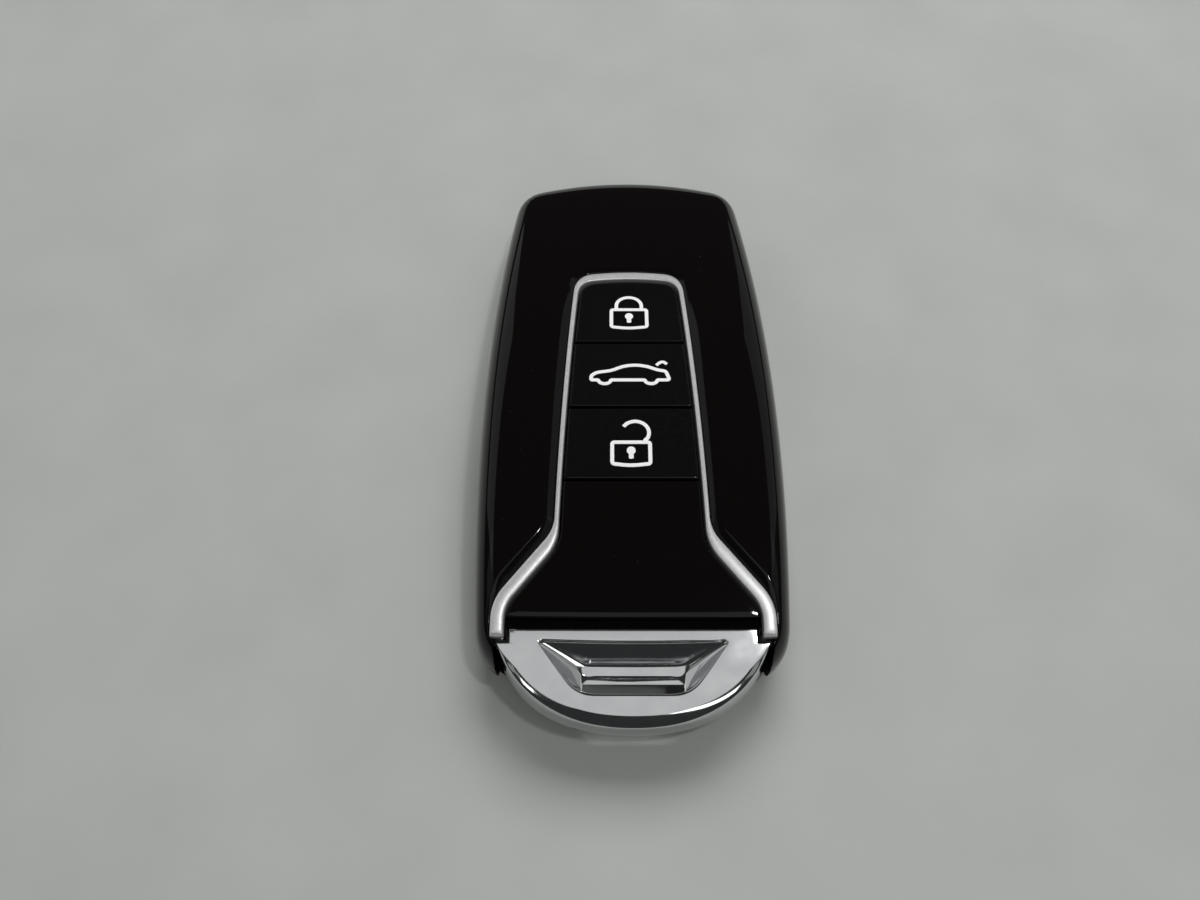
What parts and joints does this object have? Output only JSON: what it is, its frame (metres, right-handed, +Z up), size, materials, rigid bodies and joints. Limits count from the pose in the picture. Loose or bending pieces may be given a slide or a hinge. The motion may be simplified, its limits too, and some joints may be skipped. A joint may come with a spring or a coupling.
{
  "type": "car key fob",
  "caption": "Domed gloss black car key fob with push buttons in a bright bell-shaped trim, a bright key head with a key ring slot, and an emergency blade inside.",
  "frame": {"origin": "middle of the length and of the width, on the resting plane of the rear cover", "axes": "+Z up out of the buttons, +Y along the fob to its plain end, the key head points to -Y, +X to the right when read"},
  "size_m": [0.0392, 0.0833, 0.014],
  "materials": {
    "shell_black": "gloss",
    "cover_black": "fine satin grain",
    "button_black": "satin",
    "chrome": "satin chrome plating",
    "inner_black": "moulded",
    "board": "solder resist",
    "cell_steel": "brushed",
    "contact_metal": "plated spring strip",
    "ferrite": "sintered",
    "copper_wire": "enamelled wire",
    "blade_steel": "milled"
  },
  "bodies": {
    "fob_body": {"upper_shell": "shell_black", "trim_frame": "chrome", "front_panel": "shell_black", "board_carrier": "inner_black", "circuit_board": "board", "coin_cell": "cell_steel", "contact_plus": "contact_metal", "contact_minus": "contact_metal", "lock_switch": "inner_black", "boot_switch": "inner_black", "unlock_switch": "inner_black", "antenna_core": "ferrite", "antenna_winding": "copper_wire", "control_chip": "inner_black", "radio_chip": "inner_black", "crystal": "cell_steel", "release_springs": "blade_steel"},
    "lock_key": {"lock_button": "button_black", "lock_plunger": "contact_metal"},
    "boot_key": {"boot_button": "button_black", "boot_plunger": "contact_metal"},
    "unlock_key": {"unlock_button": "button_black", "unlock_plunger": "contact_metal"},
    "emergency_key": {"key_head": "chrome", "key_blade": "blade_steel", "blade_pin": "blade_steel"},
    "release_key": {"release_button": "cover_black"},
    "cover": {"rear_cover": "cover_black"}
  },
  "joints": [
    {"name": "lock_press", "type": "slide", "parent": "fob_body", "child": "lock_key", "axis": [0, 0, -1], "range_m": [0, 0.0005], "stiffness_N_per_m": 2500, "springref_m": -0.0002},
    {"name": "boot_press", "type": "slide", "parent": "fob_body", "child": "boot_key", "axis": [0, 0, -1], "range_m": [0, 0.0005], "stiffness_N_per_m": 2500, "springref_m": -0.0002},
    {"name": "unlock_press", "type": "slide", "parent": "fob_body", "child": "unlock_key", "axis": [0, 0, -1], "range_m": [0, 0.0005], "stiffness_N_per_m": 2500, "springref_m": -0.0002},
    {"name": "emergency_key_pull", "type": "slide", "parent": "fob_body", "child": "emergency_key", "axis": [0, -1, 0], "range_m": [0, 0.045]},
    {"name": "release_press", "type": "slide", "parent": "fob_body", "child": "release_key", "axis": [0, 0, 1], "range_m": [0, 0.0006], "stiffness_N_per_m": 600, "springref_m": -0.0005, "deforming": ["release_springs"]},
    {"name": "rear_cover_lift", "type": "slide", "parent": "fob_body", "child": "cover", "axis": [0, 0, -1], "range_m": [0, 0.015]}
  ]
}
